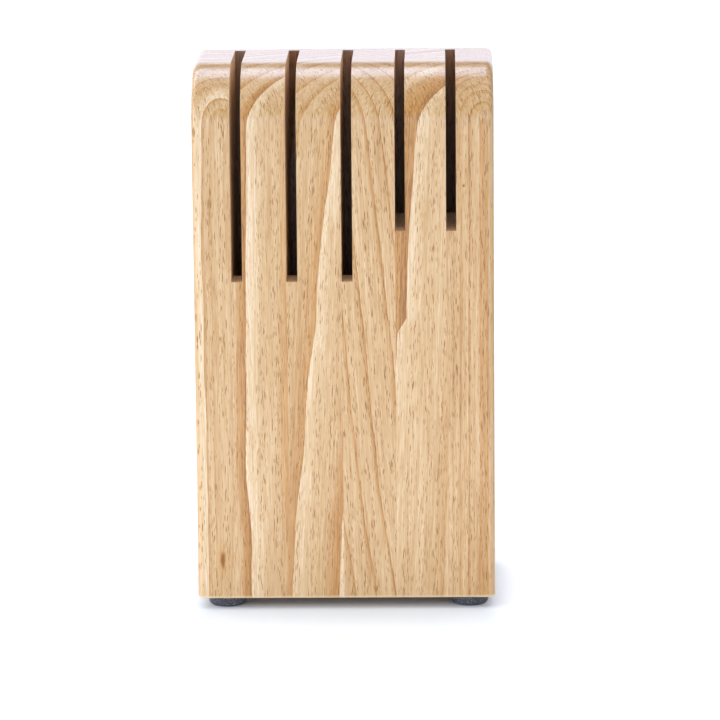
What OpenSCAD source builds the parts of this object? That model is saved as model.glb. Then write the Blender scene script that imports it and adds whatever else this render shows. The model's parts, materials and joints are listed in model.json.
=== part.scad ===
// Knife block: six upright staves glued side by side, five blade slots that
// are open at the top and at the front, and four screwed-on rubber feet.
// Millimetres. +Z is up and the open side of the slots faces -Y. The origin
// is at the middle of the footprint, on the surface that the block stands on.

/* [Block] */
// Width of the wooden block, across the staves
block_w = 125; // [122:1:132]
// Depth of the wooden block, front to back
block_d = 87; // [82:1:100]
// Height of the wooden block, without its feet
block_h = 224; // [214:1:250]
// Radius of the long rounding between the front and the top
front_top_r = 24; // [10:1:30]
// Radius of the rounding between the top and the back
back_top_r = 18; // [10:1:24]
// Radius of the roundings along the two sides
edge_r = 3; // [2:0.5:6]
// Radius of the small rounding around the bottom
sole_r = 1.5; // [1:0.5:2.5]

/* [Staves] */
// Width of stave 1, the plain one at the left end
stave_1_w = 15.8; // [15:0.1:18]
// Width of stave 2, with a long slot in its left face
stave_2_w = 22.9; // [18:0.1:23]
// Width of stave 3, with a long slot in its left face
stave_3_w = 22.9; // [18:0.1:23]
// Width of stave 4, with a long slot in its left face
stave_4_w = 22.3; // [18:0.1:23]
// Width of stave 5, with a short slot in its left face
stave_5_w = 21.2; // [18:0.1:22]

/* [Slots] */
// Width of the three long slots
long_slot_w = 4.6; // [4.2:0.1:6]
// Width of the two short slots
short_slot_w = 4.2; // [4.2:0.1:6]
// Height of the open front of a long slot, down from the top
long_mouth_h = 89; // [60:1:110]
// Height of the open front of a short slot, down from the top
short_mouth_h = 68; // [50:1:100]
// Depth of the ledge at the foot of a long slot's open front
long_ledge_d = 17; // [12:1:30]
// Depth of the ledge at the foot of a short slot's open front
short_ledge_d = 50; // [40:1:50]
// Depth of the blade pocket in a long slot, down from the top
long_pocket_h = 208; // [150:1:208]
// Depth of the blade pocket in a short slot, down from the top
short_pocket_h = 140; // [120:1:200]
// Thickness of the wood left behind every slot
back_wall = 23; // [12:1:24]
// Radius that the cutter leaves in the lower corners of the pockets
cutter_r = 5; // [2:0.5:6]

/* [Feet] */
// Diameter of a foot where it meets the wood
foot_d = 17; // [15:0.5:18]
// Height of a foot
foot_h = 4.6; // [4:0.1:6]
// Distance from the block's left side to the axes of the left feet
foot_left_inset = 12; // [10:0.1:12]
// Distance from the block's right side to the axes of the right feet
foot_right_inset = 10.8; // [10:0.1:12]
// Distance from the front, and from the back, to the axes of the feet
foot_end_inset = 11; // [10:0.5:20]
// Diameter of the shank of a foot's wood screw
screw_d = 3.5; // [3:0.1:4]
// Length of the shank in the wood, without its point
screw_grip = 8; // [6:0.5:10]

/* [Hidden] */
$fn = 96;

// Levels and planes of the wood
wood_z = foot_h;
sole_z = wood_z + sole_r;
top_z = wood_z + block_h;
front_y = -block_d / 2;
back_y = block_d / 2;
front_arc_y = front_y + front_top_r;
back_arc_y = back_y - back_top_r;
slot_back_y = back_y - back_wall;

// Width and depth between the centres of the corner roundings
inner_w = block_w - 2 * edge_r;
inner_d = block_d - 2 * edge_r;

// Glue joints, from the left side of the block to its right side
joint_1_x = -block_w / 2 + stave_1_w;
joint_2_x = joint_1_x + stave_2_w;
joint_3_x = joint_2_x + stave_3_w;
joint_4_x = joint_3_x + stave_4_w;
joint_5_x = joint_4_x + stave_5_w;

// A cut runs this far past the wood, so that it leaves no skin
past = 5;

// Axes of the feet
left_x = -block_w / 2 + foot_left_inset;
right_x = block_w / 2 - foot_right_inset;
front_foot_y = front_y + foot_end_inset;
rear_foot_y = back_y - foot_end_inset;

// A foot tapers towards the floor, where it has a round rim
foot_low_d = foot_d - 1;
foot_rim_r = 2.4;
foot_bore_d = screw_d + 0.7;
counterbore_d = 8.6;
counterbore_h = 2.4;

// The washer lies on the counterbore's floor, and the screw's head under it
washer_d = 8;
washer_t = 0.7;
head_z = counterbore_h - washer_t;
head_d = 7;
head_rim_h = 0.5;
head_crown_h = 0.7;
screw_point_h = 3;

beech = [0.87, 0.74, 0.59];
rubber = [0.30, 0.31, 0.34];
zinc = [0.72, 0.73, 0.75];

// ---- Outline of the block ----

// A strip of depth d across the block, with its two outer corners rounded
module rounded_strip(d) {
    translate([0, -block_w / 2]) square([d - edge_r, block_w]);
    translate([0, -inner_w / 2]) square([d, inner_w]);
    for (side = [-1, 1])
        translate([d - edge_r, side * inner_w / 2]) circle(r = edge_r);
}

// Quarter turn of that strip about a line along X
module top_corner(r) {
    rotate([90, 0, 90]) rotate_extrude(angle = 90) rounded_strip(r);
}

// Section through the rim of the bottom layer, with its lower corner rounded
module sole_section() {
    square([edge_r - sole_r, sole_r]);
    intersection() {
        translate([edge_r - sole_r, sole_r]) circle(r = sole_r);
        translate([edge_r - sole_r, 0]) square(sole_r);
    }
}

// Straight length of that rim, centred, with its outside facing +X
module sole_side(length) {
    translate([0, length / 2, 0]) rotate([90, 0, 0])
        linear_extrude(height = length) sole_section();
}

// Bottom layer of the block, as thick as the rounding around it
module sole() {
    translate([-inner_w / 2, -inner_d / 2, 0]) cube([inner_w, inner_d, sole_r]);
    for (turn = [0, 180]) rotate(turn) {
        translate([inner_w / 2, 0, 0]) sole_side(inner_d);
        translate([0, inner_d / 2, 0]) rotate(90) sole_side(inner_w);
        translate([inner_w / 2, inner_d / 2, 0])
            rotate_extrude(angle = 90) sole_section();
        translate([-inner_w / 2, inner_d / 2, 0]) rotate(90)
            rotate_extrude(angle = 90) sole_section();
    }
}

// The whole block before it is cut into staves and slotted. Its front and its
// back run into the top in quarter rounds, and the side roundings follow them.
module block_blank() {
    translate([0, 0, wood_z]) sole();
    translate([0, front_arc_y, sole_z]) rotate([0, 0, -90])
        linear_extrude(height = top_z - front_top_r - sole_z) rounded_strip(front_top_r);
    translate([0, back_arc_y, sole_z]) rotate([0, 0, 90])
        linear_extrude(height = top_z - back_top_r - sole_z) rounded_strip(back_top_r);
    translate([0, front_arc_y, sole_z]) rotate([0, -90, -90])
        linear_extrude(height = back_arc_y - front_arc_y) rounded_strip(top_z - sole_z);
    translate([0, front_arc_y, top_z - front_top_r]) mirror([0, 1, 0])
        top_corner(front_top_r);
    translate([0, back_arc_y, top_z - back_top_r]) top_corner(back_top_r);
}

// The part of the block between two upright planes
module stave_blank(x_from, x_to) {
    intersection() {
        block_blank();
        translate([x_from, front_y - past, wood_z - past])
            cube([x_to - x_from, block_d + 2 * past, block_h + 2 * past]);
    }
}

// ---- Slots ----

// Side view of a slot, in the Y-Z plane: an open mouth over a ledge, and the
// deeper blade pocket behind it
module slot_outline(ledge_d, mouth_h, pocket_h) {
    pocket_y = front_y + ledge_d;
    pocket_d = slot_back_y - pocket_y;
    floor_z = top_z - pocket_h;
    translate([front_y - past, top_z - mouth_h])
        square([slot_back_y - front_y + past, mouth_h + past]);
    translate([pocket_y, floor_z + cutter_r])
        square([pocket_d, pocket_h - cutter_r + past]);
    translate([pocket_y + cutter_r, floor_z])
        square([pocket_d - 2 * cutter_r, cutter_r + past]);
    for (y = [pocket_y + cutter_r, slot_back_y - cutter_r])
        translate([y, floor_z + cutter_r]) circle(r = cutter_r);
}

// Groove milled into the left face of a stave; the next stave closes it
module slot(joint_x, slot_w, ledge_d, mouth_h, pocket_h) {
    translate([joint_x, 0, 0]) rotate([90, 0, 90])
        linear_extrude(height = slot_w) slot_outline(ledge_d, mouth_h, pocket_h);
}

module long_slot(joint_x) {
    slot(joint_x, long_slot_w, long_ledge_d, long_mouth_h, long_pocket_h);
}

module short_slot(joint_x) {
    slot(joint_x, short_slot_w, short_ledge_d, short_mouth_h, short_pocket_h);
}

// ---- Staves ----

// Shank and point of the wood screws on one side, which are also their holes
module shanks(x) {
    for (y = [front_foot_y, rear_foot_y])
        translate([x, y, wood_z]) screw_in_wood();
}

module screw_in_wood() {
    cylinder(h = screw_grip, d = screw_d);
    translate([0, 0, screw_grip]) cylinder(h = screw_point_h, d1 = screw_d, d2 = 0.5);
}

module stave_1_left_end() {
    color(beech) difference() {
        stave_blank(-block_w / 2, joint_1_x);
        shanks(left_x);
    }
}

module stave_2_long_slot() {
    color(beech) difference() {
        stave_blank(joint_1_x, joint_2_x);
        long_slot(joint_1_x);
    }
}

module stave_3_long_slot() {
    color(beech) difference() {
        stave_blank(joint_2_x, joint_3_x);
        long_slot(joint_2_x);
    }
}

module stave_4_long_slot() {
    color(beech) difference() {
        stave_blank(joint_3_x, joint_4_x);
        long_slot(joint_3_x);
    }
}

module stave_5_short_slot() {
    color(beech) difference() {
        stave_blank(joint_4_x, joint_5_x);
        short_slot(joint_4_x);
    }
}

module stave_6_right_end() {
    color(beech) difference() {
        stave_blank(joint_5_x, block_w / 2);
        short_slot(joint_5_x);
        shanks(right_x);
    }
}

// ---- Feet and their fasteners ----

// Half section of a foot, without its bore: a tapering side and a round rim
module foot_section() {
    low_r = foot_low_d / 2;
    polygon([[0, 0], [low_r - foot_rim_r, 0], [low_r, foot_rim_r], [foot_d / 2, foot_h], [0, foot_h]]);
    translate([low_r - foot_rim_r, foot_rim_r]) circle(r = foot_rim_r);
}

module foot(x, y) {
    color(rubber) translate([x, y, 0]) difference() {
        rotate_extrude() foot_section();
        translate([0, 0, -past]) cylinder(h = foot_h + 2 * past, d = foot_bore_d);
        translate([0, 0, -past]) cylinder(h = counterbore_h + past, d = counterbore_d);
    }
}

module washer(x, y) {
    color(zinc) translate([x, y, head_z]) difference() {
        cylinder(h = washer_t, d = washer_d);
        translate([0, 0, -past]) cylinder(h = washer_t + 2 * past, d = foot_bore_d);
    }
}

// Pan head with a crowned face, the free shank in the foot, and the shank in the wood
module screw(x, y) {
    color(zinc) translate([x, y, 0]) {
        translate([0, 0, head_z - head_rim_h]) cylinder(h = head_rim_h, d = head_d);
        translate([0, 0, head_z - head_rim_h - head_crown_h])
            cylinder(h = head_crown_h, d1 = head_d - 2 * head_crown_h, d2 = head_d);
        translate([0, 0, head_z]) cylinder(h = wood_z - head_z, d = screw_d);
        translate([0, 0, wood_z]) screw_in_wood();
    }
}

module foot_front_left() { foot(left_x, front_foot_y); }
module foot_front_right() { foot(right_x, front_foot_y); }
module foot_rear_left() { foot(left_x, rear_foot_y); }
module foot_rear_right() { foot(right_x, rear_foot_y); }

module washer_front_left() { washer(left_x, front_foot_y); }
module washer_front_right() { washer(right_x, front_foot_y); }
module washer_rear_left() { washer(left_x, rear_foot_y); }
module washer_rear_right() { washer(right_x, rear_foot_y); }

module screw_front_left() { screw(left_x, front_foot_y); }
module screw_front_right() { screw(right_x, front_foot_y); }
module screw_rear_left() { screw(left_x, rear_foot_y); }
module screw_rear_right() { screw(right_x, rear_foot_y); }

stave_1_left_end();
stave_2_long_slot();
stave_3_long_slot();
stave_4_long_slot();
stave_5_short_slot();
stave_6_right_end();
foot_front_left();
foot_front_right();
foot_rear_left();
foot_rear_right();
washer_front_left();
washer_front_right();
washer_rear_left();
washer_rear_right();
screw_front_left();
screw_front_right();
screw_rear_left();
screw_rear_right();
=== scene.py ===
"""Looks of the knife block: camera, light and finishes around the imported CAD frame."""

import json
import math

import bpy
from mathutils import Euler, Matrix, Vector

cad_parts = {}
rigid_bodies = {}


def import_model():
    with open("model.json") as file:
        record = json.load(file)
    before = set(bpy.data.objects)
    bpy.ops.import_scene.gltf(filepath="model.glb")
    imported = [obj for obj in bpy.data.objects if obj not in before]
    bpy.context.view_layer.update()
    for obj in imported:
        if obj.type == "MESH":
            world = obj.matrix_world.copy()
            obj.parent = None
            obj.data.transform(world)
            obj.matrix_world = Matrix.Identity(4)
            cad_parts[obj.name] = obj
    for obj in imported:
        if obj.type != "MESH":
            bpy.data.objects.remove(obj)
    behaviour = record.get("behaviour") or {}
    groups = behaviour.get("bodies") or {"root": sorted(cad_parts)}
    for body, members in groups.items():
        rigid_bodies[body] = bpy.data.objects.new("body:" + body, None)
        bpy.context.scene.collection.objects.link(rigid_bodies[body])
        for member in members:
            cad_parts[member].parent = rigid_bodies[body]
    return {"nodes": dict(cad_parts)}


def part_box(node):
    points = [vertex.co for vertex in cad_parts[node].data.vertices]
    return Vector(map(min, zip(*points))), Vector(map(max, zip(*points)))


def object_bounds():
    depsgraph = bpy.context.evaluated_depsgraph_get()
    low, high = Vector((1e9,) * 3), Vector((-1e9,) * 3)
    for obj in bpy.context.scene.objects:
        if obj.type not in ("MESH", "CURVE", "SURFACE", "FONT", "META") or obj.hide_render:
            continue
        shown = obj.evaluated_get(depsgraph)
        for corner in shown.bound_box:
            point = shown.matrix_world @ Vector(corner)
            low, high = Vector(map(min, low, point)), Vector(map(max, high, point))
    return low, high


def clear_scene():
    """Removes the objects of Blender's start-up scene."""
    for thing in list(bpy.data.objects):
        bpy.data.objects.remove(thing)


clear_scene()
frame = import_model()
cad_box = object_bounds()

MM = 0.001
block_low, block_high = cad_box
height = block_high.z
front = block_low.y
# The same planes in millimetres, for the shaders
top_mm = height / MM
front_mm = front / MM
side_mm = block_high.x / MM

# ---- Camera ----

# A long lens, a little right of the middle and well above the block. Metres
# in front of the block, to the right of its middle and above the floor
CAMERA_DISTANCE = 1.805
CAMERA_SIDE = 0.0405
CAMERA_HEIGHT = 0.449
# Degrees down, to the left and around the view
CAMERA_PITCH = 10.74
CAMERA_YAW = 1.08
CAMERA_ROLL = -0.51
# Focal length and width of the picture in the camera, in millimetres
CAMERA_LENS = 220.8
CAMERA_SENSOR = 36.0
# Nothing further away than this is drawn, in metres
CAMERA_FAR_END = 100.0


def add_camera():
    """The camera in front of the block, at the viewing angle of the picture."""
    data = bpy.data.cameras.new("camera")
    data.lens = CAMERA_LENS
    data.sensor_width = CAMERA_SENSOR
    data.clip_end = CAMERA_FAR_END
    camera = bpy.data.objects.new("camera", data)
    bpy.context.scene.collection.objects.link(camera)
    turn = Euler((math.radians(90 - CAMERA_PITCH), 0, math.radians(CAMERA_YAW)))
    roll = Euler((0, 0, math.radians(CAMERA_ROLL)))
    pose = turn.to_matrix() @ roll.to_matrix()
    camera.matrix_world = pose.to_4x4()
    camera.location = (CAMERA_SIDE, front - CAMERA_DISTANCE, CAMERA_HEIGHT)
    bpy.context.scene.camera = camera


# ---- Shader building ----

# A bent line may run half of this to either side, in millimetres
CURVE_SPAN = 64


class Graph:
    """Short ways to add nodes to one shader tree."""

    def __init__(self, tree):
        self.tree = tree
        tree.nodes.clear()

    def node(self, kind, **settings):
        """Adds a node and gives it its settings."""
        made = self.tree.nodes.new(kind)
        for key, value in settings.items():
            setattr(made, key, value)
        return made

    def put(self, socket, value):
        """Links an output to a socket, or sets a plain value on it."""
        if isinstance(value, bpy.types.NodeSocket):
            self.tree.links.new(value, socket)
        else:
            socket.default_value = value

    def math(self, operation, a, b=0.0):
        """The result of a Math node, such as ABSOLUTE or MAXIMUM."""
        made = self.node("ShaderNodeMath", operation=operation)
        for socket, value in zip(made.inputs, (a, b)):
            self.put(socket, value)
        return made.outputs[0]

    def add(self, a, b):
        return self.math("ADD", a, b)

    def subtract(self, a, b):
        return self.math("SUBTRACT", a, b)

    def multiply(self, a, b):
        return self.math("MULTIPLY", a, b)

    def fade(self, value, low, high, to_low=0.0, to_high=1.0):
        """A smooth step from to_low at low to to_high at high."""
        made = self.node("ShaderNodeMapRange", interpolation_type="SMOOTHSTEP")
        for socket, number in zip(made.inputs, (value, low, high, to_low, to_high)):
            self.put(socket, number)
        return made.outputs[0]

    def combine(self, x, y, z):
        """A vector from its three parts."""
        made = self.node("ShaderNodeCombineXYZ")
        for socket, value in zip(made.inputs, (x, y, z)):
            self.put(socket, value)
        return made.outputs[0]

    def separate(self, vector):
        """The three parts of a vector."""
        made = self.node("ShaderNodeSeparateXYZ")
        self.put(made.inputs[0], vector)
        return made.outputs

    def facing(self):
        """The surface's own direction, as x, y and z."""
        return self.separate(self.node("ShaderNodeTexCoord").outputs["Normal"])

    def millimetres(self):
        """Place on the object in millimetres, as x, y and z."""
        place = self.node("ShaderNodeTexCoord").outputs["Object"]
        scale = self.node("ShaderNodeVectorMath", operation="SCALE")
        self.put(scale.inputs[0], place)
        scale.inputs["Scale"].default_value = 1 / MM
        return self.separate(scale.outputs[0])

    def noise(self, vector, scale=1.0, detail=2.0, roughness=0.5):
        """Smooth noise from 0 to 1."""
        made = self.node("ShaderNodeTexNoise")
        self.put(made.inputs["Vector"], vector)
        made.inputs["Scale"].default_value = scale
        made.inputs["Detail"].default_value = detail
        made.inputs["Roughness"].default_value = roughness
        return made.outputs["Fac"]

    def voronoi(self, vector):
        """Cells around scattered points: the distance to the point and the cell's own colour."""
        made = self.node("ShaderNodeTexVoronoi")
        self.put(made.inputs["Vector"], vector)
        made.inputs["Scale"].default_value = 1.0
        return made.outputs

    def curve(self, value, points):
        """A line bent at points (millimetres up, millimetres across), read at a share of the height."""
        made = self.node("ShaderNodeFloatCurve")
        curve = made.mapping.curves[0]
        while len(curve.points) < len(points):
            curve.points.new(0.5, 0.5)
        for point, (up, across) in zip(curve.points, points):
            point.location = (up / top_mm, across / CURVE_SPAN + 0.5)
            point.handle_type = "VECTOR"
        made.mapping.update()
        self.put(made.inputs["Value"], value)
        return self.multiply(self.subtract(made.outputs[0], 0.5), CURVE_SPAN)

    def ramp(self, value, stops):
        """A colour ramp with stops (place, colour)."""
        made = self.node("ShaderNodeValToRGB")
        self.put(made.inputs[0], value)
        points = made.color_ramp.elements
        while len(points) < len(stops):
            points.new(0.5)
        for point, (place, colour) in zip(points, stops):
            point.position = place
            point.color = (*colour, 1.0)
        return made.outputs[0]

    def mix(self, factor, a, b, blend="MIX"):
        """A colour between a at factor 0 and b at factor 1."""
        made = self.node("ShaderNodeMix", data_type="RGBA", blend_type=blend)
        self.put(made.inputs[0], factor)
        for socket, colour in zip(made.inputs[6:8], (a, b)):
            if isinstance(colour, tuple):
                colour = (*colour, 1.0)
            self.put(socket, colour)
        return made.outputs[2]

    def bump(self, relief, depth):
        """The surface direction with fine relief, so many millimetres deep, at half strength."""
        made = self.node("ShaderNodeBump")
        self.put(made.inputs["Height"], relief)
        made.inputs["Distance"].default_value = depth * MM
        made.inputs["Strength"].default_value = 0.5
        return made.outputs["Normal"]


def srgb(red, green, blue):
    """Linear colour of an 8-bit sRGB colour."""
    parts = (channel / 255 for channel in (red, green, blue))
    return tuple(p / 12.92 if p <= 0.04045 else ((p + 0.055) / 1.055) ** 2.4 for p in parts)


def new_material(name):
    """An empty material, its graph and its Principled shader."""
    material = bpy.data.materials.new(name)
    material.use_nodes = True
    graph = Graph(material.node_tree)
    shader = graph.node("ShaderNodeBsdfPrincipled")
    output = graph.node("ShaderNodeOutputMaterial")
    material.node_tree.links.new(shader.outputs[0], output.inputs[0])
    return material, graph, shader


# ---- Beech ----

# The growth rings of each stave, in millimetres. `line` is where one ring's
# outer edge runs on the front face, as (height above the floor, distance from
# the stave's left side). `pith` is where the middle of the tree lies from that
# edge, to the right and to the back. `rings` go outwards from that edge and
# then repeat: width, paleness at the inner side, darkness at the outer side,
# and the part of the width that is darkened. `tone` is 0 for pale wood and 1
# for dark wood.
STAVES = {
    "stave_1_left_end": dict(
        line=((0, 4.8), (75, 4.4), (150, 3.8), (224, 4.5)),
        pith=(8, -9),
        rings=(
            (4.6, 0.9, 0.2, 0.3), (2.3, 0.1, 0.4, 0.5), (5.2, 0.3, 0.2, 0.5),
            (3.1, 0.15, 0.3, 0.4), (1.7, 0.1, 0.4, 0.5),
        ),
        tone=0.55,
    ),
    "stave_2_long_slot": dict(
        line=((0, 6.9), (34, 6.9), (56, 5.2), (110, 5.7), (170, 6.6), (224, 7.4)),
        pith=(-265, 424),
        rings=(
            (9.9, 0.9, 0.6, 0.35), (7.0, 0.3, 0.5, 0.3), (6.0, 0.5, 0.4, 0.4),
            (6.8, 0.3, 0.6, 0.3), (5.6, 0.3, 0.9, 0.5),
        ),
        tone=0.53,
    ),
    "stave_3_long_slot": dict(
        line=(
            (0, 0.9), (36, 2.4), (67, 6.1), (99, 8.8),
            (120, 11.8), (146, 13.3), (184, 18.4), (224, 22.4),
        ),
        pith=(-265, 424),
        rings=(
            (10.8, 0.9, 0.8, 0.35), (6.4, 0.8, 0.5, 0.4), (7.6, 0.3, 0.4, 0.3),
            (4.9, 0.3, 0.5, 0.3), (7.3, 0.3, 0.5, 0.6),
        ),
        tone=0.56,
    ),
    "stave_4_long_slot": dict(
        line=(
            (0, 22.6), (17, 20.3), (33, 17.5), (50, 15.2),
            (88, 11.8), (130, 8.0), (224, -2.0),
        ),
        pith=(-218, -206),
        rings=(
            (8.0, 0.2, 0.6, 0.2), (4.4, 0.2, 0.8, 0.2), (5.2, 0.2, 0.8, 0.2),
            (6.0, 0.2, 0.8, 0.2), (5.8, 0.15, 0.8, 0.2),
        ),
        tone=0.55,
    ),
    "stave_5_short_slot": dict(
        line=(
            (0, -5.0), (90, -1.2), (118, 0.7), (124, 4.3),
            (146, 5.0), (184, 7.3), (206, 9.8), (224, 12.4),
        ),
        pith=(-265, 424),
        rings=(
            (13.2, 0.65, 0.3, 0.3), (6.4, 0.3, 0.5, 0.4), (8.0, 0.3, 0.5, 0.3),
            (5.0, 0.3, 0.3, 0.4), (11.0, 0.7, 1.0, 0.8),
        ),
        tone=0.52,
    ),
    "stave_6_right_end": dict(
        line=((0, 8.2), (75, 9.0), (170, 9.4), (224, 9.0)),
        pith=(6.5, -9),
        rings=((2.6, 0.1, 0.4, 0.5), (2.2, 0.1, 0.3, 0.4), (2.8, 0.1, 0.4, 0.4), (1.8, 0.1, 0.6, 0.4)),
        tone=0.58,
    ),
}

# Small knots and specks on the front, in millimetres: distance from the
# stave's left side, height above the floor, half the width and half the height
KNOTS = {
    "stave_1_left_end": (10.7, 21.3, 2.1, 7.5),
    "stave_6_right_end": (7.3, 179.6, 0.9, 1.1),
}
# How far a knot reaches into the wood, in millimetres
KNOT_DEPTH = 12

# Beech from its palest to its darkest
BEECH_TONES = (
    (0.00, srgb(234, 217, 194)),
    (0.20, srgb(221, 195, 159)),
    (0.40, srgb(207, 174, 131)),
    (0.55, srgb(198, 161, 115)),
    (0.70, srgb(188, 147, 98)),
    (0.85, srgb(173, 130, 81)),
    (1.00, srgb(148, 102, 54)),
)
KNOT_CORE = srgb(134, 80, 16)
KNOT_HALO = srgb(194, 146, 80)
# Painted light: a paler colour on the milled side walls and ledges of the slots, and on the lowest wood
# above the feet
SLOT_WALL_LIGHT = srgb(249, 221, 187)
LOWER_EDGE_LIGHT = srgb(238, 212, 174)
# Tints laid over the outer side of each ring, and painted shade over the back walls of the slots
LATE_WOOD = srgb(255, 242, 219)
SLOT_BACK_SHADE = srgb(202, 204, 242)

# The widest pale start of a ring, the dark line at its outer edge, how far
# the rings stray and how deep a ray is, all in millimetres
EARLY_WIDTH = 1.6
RING_LINE = 0.15
RING_WANDER = 2.0
RAY_DEPTH = 3.5
# How much each kind of fleck and streak darkens the tone
COARSE_STREAKS = 0.50
FINE_STREAKS = 0.66
BROAD_STREAKS = 0.30
RAY_ENDS = 0.62
# How much of the painted-light colour the milled side walls and ledges take, the roughness of lacquered
# wood, and what a milled face adds to it
SLOT_WALL_LIGHT_SHARE = 0.6
LACQUER_ROUGHNESS = 0.24
BARE_ROUGHNESS = 0.5
# Depth of the pores, in millimetres
PORE_DEPTH = 0.02


def ring_pattern(rings):
    """The tone across the rings, as ramp stops from 0 to 1, and their whole width."""
    whole = sum(ring[0] for ring in rings)
    stops = []
    start = 0.0
    for width, pale, dark, spread in rings:
        early = min(EARLY_WIDTH, 0.3 * width)
        # Distance into the ring, and how much darker than the middle tone it is there
        places = (
            (0.0, -0.35 * pale),
            (0.9 * early, -0.27 * pale),
            (2.2 * early, -0.06 * pale),
            ((1 - spread) * width, 0.0),
            ((1 - 0.3 * spread) * width, 0.24 * dark),
            (width - RING_LINE, 0.38 * dark),
        )
        for place, change in places:
            level = 0.5 + change
            stops.append(((start + place) / whole, (level, level, level)))
        start += width
    return stops, whole


def ring_level(graph, place, left, line, pith, rings):
    """Tone of the growth rings: pale inside each one, dark at its outer edge."""
    x, y, z = place
    edge = graph.curve(graph.multiply(z, 1 / top_mm), line)
    slow = graph.combine(*(graph.multiply(axis, 0.03) for axis in place))
    wander = graph.multiply(graph.subtract(graph.noise(slow, detail=3.0), 0.5), RING_WANDER)
    from_x = graph.subtract(graph.subtract(x, left + pith[0]), graph.add(edge, wander))
    from_y = graph.subtract(y, front_mm + pith[1])
    squares = graph.add(graph.multiply(from_x, from_x), graph.multiply(from_y, from_y))
    outward = graph.subtract(graph.math("SQRT", squares), math.hypot(*pith))
    stops, whole = ring_pattern(rings)
    place_in_rings = graph.math("FRACT", graph.multiply(outward, 1 / whole))
    return graph.separate(graph.ramp(place_in_rings, stops))[0]


def grain_frame(graph, place, line, pith):
    """Place along the rings, across them and up the grain, in millimetres."""
    x, y, z = place
    reach = math.hypot(*pith)
    side = pith[0] / reach
    back = pith[1] / reach
    # The grain leans half as far as the ring's edge does
    low_end = line[0]
    high_end = line[-1]
    lean = 0.5 * (high_end[1] - low_end[1]) / (high_end[0] - low_end[0])
    upright = graph.subtract(x, graph.multiply(z, lean))
    tangent = graph.add(graph.multiply(upright, back), graph.multiply(y, -side))
    radial = graph.add(graph.multiply(upright, side), graph.multiply(y, back))
    return tangent, radial, z


def streaks(graph, grain, seed, pitch, length, detail):
    """Noise from about -0.5 to 0.5, of this pitch across the grain and this length along it."""
    tangent, radial, z = grain
    place = graph.combine(
        graph.multiply(tangent, 1 / pitch),
        graph.add(graph.multiply(radial, 0.7 / pitch), seed * 4.3),
        graph.multiply(z, 1 / length),
    )
    return graph.subtract(graph.noise(place, detail=detail, roughness=0.6), 0.5)


def rays(graph, grain, seed, width, length):
    """Ray ends, one to each cell of this width and length: up to 1 in a ray, 0 between."""
    tangent, radial, z = grain
    place = graph.combine(
        graph.add(graph.multiply(tangent, 1 / width), seed * 3.7),
        graph.multiply(radial, 1 / RAY_DEPTH),
        graph.multiply(z, 1 / length),
    )
    cells = graph.voronoi(place)
    size, depth = graph.separate(cells["Color"])[:2]
    reach = graph.multiply(cells["Distance"], graph.add(0.75, graph.multiply(size, 0.8)))
    inside = graph.fade(reach, 0.20, 0.30, 1.0, 0.0)
    darkness = graph.fade(depth, 0.1, 0.9, 0.15, 1.0)
    return graph.multiply(inside, darkness)


def grain_marks(graph, grain, seed):
    """Streaks and ray ends with how much each darkens the wood, and the relief that they leave."""
    coarse = streaks(graph, grain, seed, 1.1, 45, 2.0)
    fine = streaks(graph, grain, seed + 5, 0.38, 11, 1.0)
    broad = streaks(graph, grain, seed + 9, 7.0, 120, 1.0)
    wide_rays = rays(graph, grain, seed, 0.46, 6.6)
    slim_rays = rays(graph, grain, seed + 9, 0.40, 4.8)
    ray_ends = graph.math("MAXIMUM", wide_rays, slim_rays)
    marks = (
        (coarse, COARSE_STREAKS),
        (fine, FINE_STREAKS),
        (broad, BROAD_STREAKS),
        (ray_ends, RAY_ENDS),
    )
    relief = graph.subtract(coarse, graph.multiply(ray_ends, 0.6))
    return marks, relief


def cut_faces(graph, place):
    """The faces milled inside the block, from 0 to 1: side walls and ledges, and back walls.

    They face as the outside of the block does, but lie behind it.
    """
    x, y, z = place
    across, ahead, up = graph.facing()
    facing_side = graph.fade(graph.math("ABSOLUTE", across), 0.95, 0.99)
    facing_up = graph.fade(up, 0.9, 0.95)
    facing_front = graph.fade(ahead, -0.9, -0.95)
    inside = graph.fade(graph.math("ABSOLUTE", x), side_mm - 1, side_mm - 2)
    below = graph.fade(z, top_mm - 8, top_mm - 9)
    behind = graph.fade(y, front_mm + 3, front_mm + 4)
    sides = graph.multiply(facing_side, inside)
    ledges = graph.multiply(facing_up, below)
    backs = graph.multiply(facing_front, behind)
    return graph.math("MAXIMUM", sides, ledges), backs


def lower_edge_lightening(graph, place, foot):
    """Where the lower edge is painted lighter, from 0 to 1: the lowest wood above foot, without the
    underside.
    """
    upright = graph.facing()[2]
    side = graph.fade(graph.math("ABSOLUTE", upright), 0.97, 0.90)
    low = graph.fade(place[2], foot + 1.7, foot + 0.5, 0.0, 0.60)
    return graph.multiply(low, side)


def knot(graph, place, left, colour, across, up, half_width, half_height):
    """Colour with a knot: a dark core in a halo of orange wood."""
    x, y, z = place
    ragged = graph.noise(graph.combine(x, graph.multiply(y, 0.3), graph.multiply(z, 0.4)), scale=1.2)
    steps = (
        graph.multiply(graph.subtract(x, left + across), 1 / half_width),
        graph.multiply(graph.subtract(y, front_mm), 1 / KNOT_DEPTH),
        graph.multiply(graph.subtract(z, up), 1 / half_height),
    )
    squares = graph.multiply(graph.subtract(ragged, 0.5), 0.3)
    for step in steps:
        squares = graph.add(squares, graph.multiply(step, step))
    halo = graph.fade(squares, 1.3, 0.1, 0.0, 0.65)
    core = graph.fade(squares, 0.42, 0.0, 0.0, 0.95)
    return graph.mix(core, graph.mix(halo, colour, KNOT_HALO), KNOT_CORE)


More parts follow.
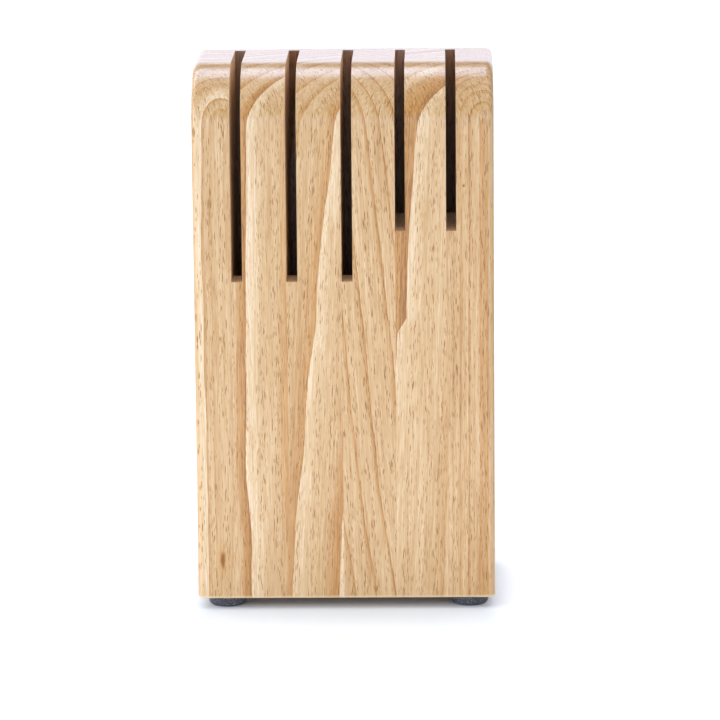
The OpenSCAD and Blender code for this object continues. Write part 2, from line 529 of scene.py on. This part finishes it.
def beech(node, seed, line, pith, rings, tone):
    """Lacquered beech with one stave's own growth rings."""
    material, graph, shader = new_material("beech_" + node)
    place = graph.millimetres()
    low_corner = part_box(node)[0]
    left = low_corner.x / MM
    foot = low_corner.z / MM
    grain = grain_frame(graph, place, line, pith)

    figure = ring_level(graph, place, left, line, pith, rings)
    level = graph.add(figure, tone - 0.5)
    marks, relief = grain_marks(graph, grain, seed)
    for mark, weight in marks:
        level = graph.add(level, graph.multiply(mark, weight))
    colour = graph.ramp(level, BEECH_TONES)
    colour = graph.mix(graph.fade(figure, 0.51, 0.70), colour, LATE_WOOD, "MULTIPLY")

    if node in KNOTS:
        colour = knot(graph, place, left, colour, *KNOTS[node])

    walls, backs = cut_faces(graph, place)
    # Painted light: the milled side walls and ledges of the slots are painted paler
    colour = graph.mix(graph.multiply(walls, SLOT_WALL_LIGHT_SHARE), colour, SLOT_WALL_LIGHT)
    # Painted shade: the back walls of the slots are painted darker and cooler
    colour = graph.mix(backs, colour, SLOT_BACK_SHADE, "MULTIPLY")
    # Painted light: the lowest wood above the feet is painted paler
    colour = graph.mix(lower_edge_lightening(graph, place, foot), colour, LOWER_EDGE_LIGHT)
    dullness = graph.multiply(graph.add(walls, backs), BARE_ROUGHNESS)

    graph.put(shader.inputs["Base Color"], colour)
    graph.put(shader.inputs["Roughness"], graph.add(LACQUER_ROUGHNESS, dullness))
    shader.inputs["IOR"].default_value = 1.5
    graph.put(shader.inputs["Normal"], graph.bump(relief, PORE_DEPTH))
    return material


# ---- Rubber and steel ----

RUBBER_TONES = (
    (0.40, srgb(44, 46, 50)),
    (0.56, srgb(74, 76, 82)),
    (0.68, srgb(130, 133, 140)),
)
ZINC_TONES = (
    (0.35, srgb(170, 173, 178)),
    (0.65, srgb(206, 208, 212)),
)
# Depth of the rubber's texture, in millimetres
RUBBER_RELIEF = 0.1


def rubber():
    """Slate-grey rubber with a fine pale speckle."""
    material, graph, shader = new_material("rubber_feet")
    place = graph.combine(*graph.millimetres())
    grain = graph.noise(place, scale=1.5, detail=4.0, roughness=0.7)
    graph.put(shader.inputs["Base Color"], graph.ramp(grain, RUBBER_TONES))
    shader.inputs["Roughness"].default_value = 0.62
    graph.put(shader.inputs["Normal"], graph.bump(grain, RUBBER_RELIEF))
    return material


def zinc():
    """Zinc-plated steel with faint mottling."""
    material, graph, shader = new_material("zinc_plating")
    place = graph.combine(*graph.millimetres())
    mottle = graph.noise(place, scale=0.9, detail=3.0)
    graph.put(shader.inputs["Base Color"], graph.ramp(mottle, ZINC_TONES))
    shader.inputs["Metallic"].default_value = 1.0
    graph.put(shader.inputs["Roughness"], graph.fade(mottle, 0.3, 0.7, 0.28, 0.42))
    return material


def dress(node, material):
    """Gives a CAD node its finish."""
    slots = frame["nodes"][node].data.materials
    slots.clear()
    slots.append(material)


# ---- Stage and light ----

FLOOR_HALF_SIZE = 12.0
# The paper close to the block, painted darker there as shade, and further out
PAPER_NEAR = (0.77, 0.84, 0.89)
PAPER_FAR = (0.87, 0.95, 1.0)
# Painted light that the paper gives off to lift the block's shade: its colour, its strength everywhere
# but under the block, and what comes on top beside the block
PAPER_PAINTED_LIGHT = (0.94, 0.95, 1.1, 1.0)
OPEN_PAINTED_LIGHT = 0.15
SIDE_PAINTED_LIGHT = 0.32


def add_floor():
    """A wide floor of pale paper, flat under the block, with painted shade close to the block and a
    faint painted glow around it.
    """
    size = FLOOR_HALF_SIZE
    mesh = bpy.data.meshes.new("floor")
    corners = [(-size, -size, 0), (size, -size, 0), (size, size, 0), (-size, size, 0)]
    mesh.from_pydata(corners, [], [(0, 1, 2, 3)])
    floor = bpy.data.objects.new("floor", mesh)
    bpy.context.scene.collection.objects.link(floor)
    material, graph, shader = new_material("floor_paper")

    # Millimetres outside the block: past its sides, past its front or back,
    # and past whichever is further
    x, y = graph.millimetres()[:2]
    beside = graph.subtract(graph.math("ABSOLUTE", x), side_mm)
    beyond = graph.subtract(graph.math("ABSOLUTE", y), -front_mm)
    away = graph.math("MAXIMUM", beside, beyond)
    # Painted light: the paper glows outside the block's footprint, more beside it
    past_side = graph.fade(beside, -5, 10)
    side_glow = graph.multiply(past_side, graph.fade(beside, 400, 150, 0.0, SIDE_PAINTED_LIGHT))
    open_glow = graph.fade(away, -14, -3, 0.0, OPEN_PAINTED_LIGHT)
    glow = graph.add(open_glow, side_glow)
    # Painted shade: the paper is darker close to the block
    paper = graph.mix(graph.fade(away, 8, 45), PAPER_NEAR, PAPER_FAR)
    graph.put(shader.inputs["Base Color"], paper)
    graph.put(shader.inputs["Emission Strength"], glow)
    shader.inputs["Emission Color"].default_value = PAPER_PAINTED_LIGHT
    shader.inputs["Roughness"].default_value = 0.9
    shader.inputs["Specular IOR Level"].default_value = 0.0
    mesh.materials.append(material)


def add_area(name, place, target, size, power, tint=(1.0, 1.0, 1.0)):
    """A soft rectangular light at place, aimed at target."""
    data = bpy.data.lights.new(name, "AREA")
    data.shape = "RECTANGLE"
    data.size, data.size_y = size
    data.energy = power
    data.color = tint
    light = bpy.data.objects.new(name, data)
    bpy.context.scene.collection.objects.link(light)
    light.location = place
    light.rotation_euler = (Vector(target) - Vector(place)).to_track_quat("-Z", "Y").to_euler()
    return light


def shade(graph, level, where, share):
    """The level with a share of it taken away where `where` is 1."""
    return graph.multiply(level, graph.subtract(1.0, graph.multiply(where, share)))


def light_world():
    """A pale surround: brightest near the floor and overhead, dim behind the block between them."""
    world = bpy.data.worlds.new("studio")
    bpy.context.scene.world = world
    world.use_nodes = True
    graph = Graph(world.node_tree)
    direction = graph.node("ShaderNodeTexCoord").outputs["Generated"]
    across, back, up = graph.separate(direction)

    # Which way the ray goes on the ground, from -1 in front to 1 behind
    outwards = graph.subtract(1.0, graph.multiply(up, up))
    outwards = graph.math("SQRT", graph.math("MAXIMUM", outwards, 0.001))
    bearing = graph.math("DIVIDE", back, outwards)
    behind = graph.fade(bearing, 0.80, 0.95)
    ahead = graph.fade(bearing, -0.3, -0.7)

    # Walls that are paler at the left, and a pale ceiling
    walls = graph.fade(across, -0.9, 0.9, 0.84, 0.34)
    ceiling = graph.fade(up, 0.55, 0.70, 0.0, 1.02)
    level = graph.add(walls, ceiling)
    dim = graph.multiply(behind, graph.fade(up, 0.78, 0.70))
    level = shade(graph, level, dim, 0.80)
    level = shade(graph, level, ahead, 0.34)

    # The paper sweep: a bright band near the floor, which rises behind the block
    sweep = graph.multiply(behind, graph.fade(up, 0.56, 0.24))
    low = graph.math("MAXIMUM", graph.fade(up, 0.19, 0.14), sweep)
    bright = graph.subtract(2.1, graph.multiply(behind, 0.52))
    level = graph.multiply(level, graph.subtract(1.0, low))
    level = graph.add(level, graph.multiply(low, bright))

    # A dark card low at the right
    card = graph.multiply(graph.fade(across, 0.45, 0.80), graph.fade(up, 0.50, 0.30))
    level = shade(graph, level, card, 0.75)

    cool = graph.mix(behind, (0.82, 1.0, 1.32), (0.90, 1.0, 1.25))
    colour = graph.mix(low, (1.0, 0.985, 0.99), cool)
    background = graph.node("ShaderNodeBackground")
    graph.put(background.inputs["Color"], colour)
    graph.put(background.inputs["Strength"], level)
    output = graph.node("ShaderNodeOutputWorld")
    world.node_tree.links.new(background.outputs[0], output.inputs[0])


def light_stage():
    """Studio light: a gloss-only box overhead, a box at the left, and two low fills in front."""
    middle = (0, 0, height / 2)
    over = (-0.95, 0, height)
    gloss = add_area("overhead_box", (-0.95, 0.60, 1.60), over, (2.2, 0.76), 22, (0.70, 1.02, 1.56))
    gloss.visible_diffuse = False
    add_area("left_box", (-1.8, -0.5, 0.55), middle, (0.8, 1.0), 11, (0.95, 1.0, 1.1))
    fill = add_area("front_fill", (0.3, -3.0, 0.35), middle, (2.0, 0.7), 4.0)
    fill.visible_glossy = False
    toe = (0, front, 0.03)
    strip = add_area("low_strip", (0, front - 0.25, 0.025), toe, (0.34, 0.04), 0.14)
    strip.visible_glossy = False


add_camera()
add_floor()
light_world()
light_stage()

for seed, (stave, figure) in enumerate(STAVES.items(), start=1):
    dress(stave, beech(stave, seed, **figure))
feet_rubber = rubber()
plating = zinc()
for node in frame["nodes"]:
    if node.startswith("foot_"):
        dress(node, feet_rubber)
    elif node.startswith(("washer_", "screw_")):
        dress(node, plating)

bpy.context.scene.view_settings.view_transform = "Standard"
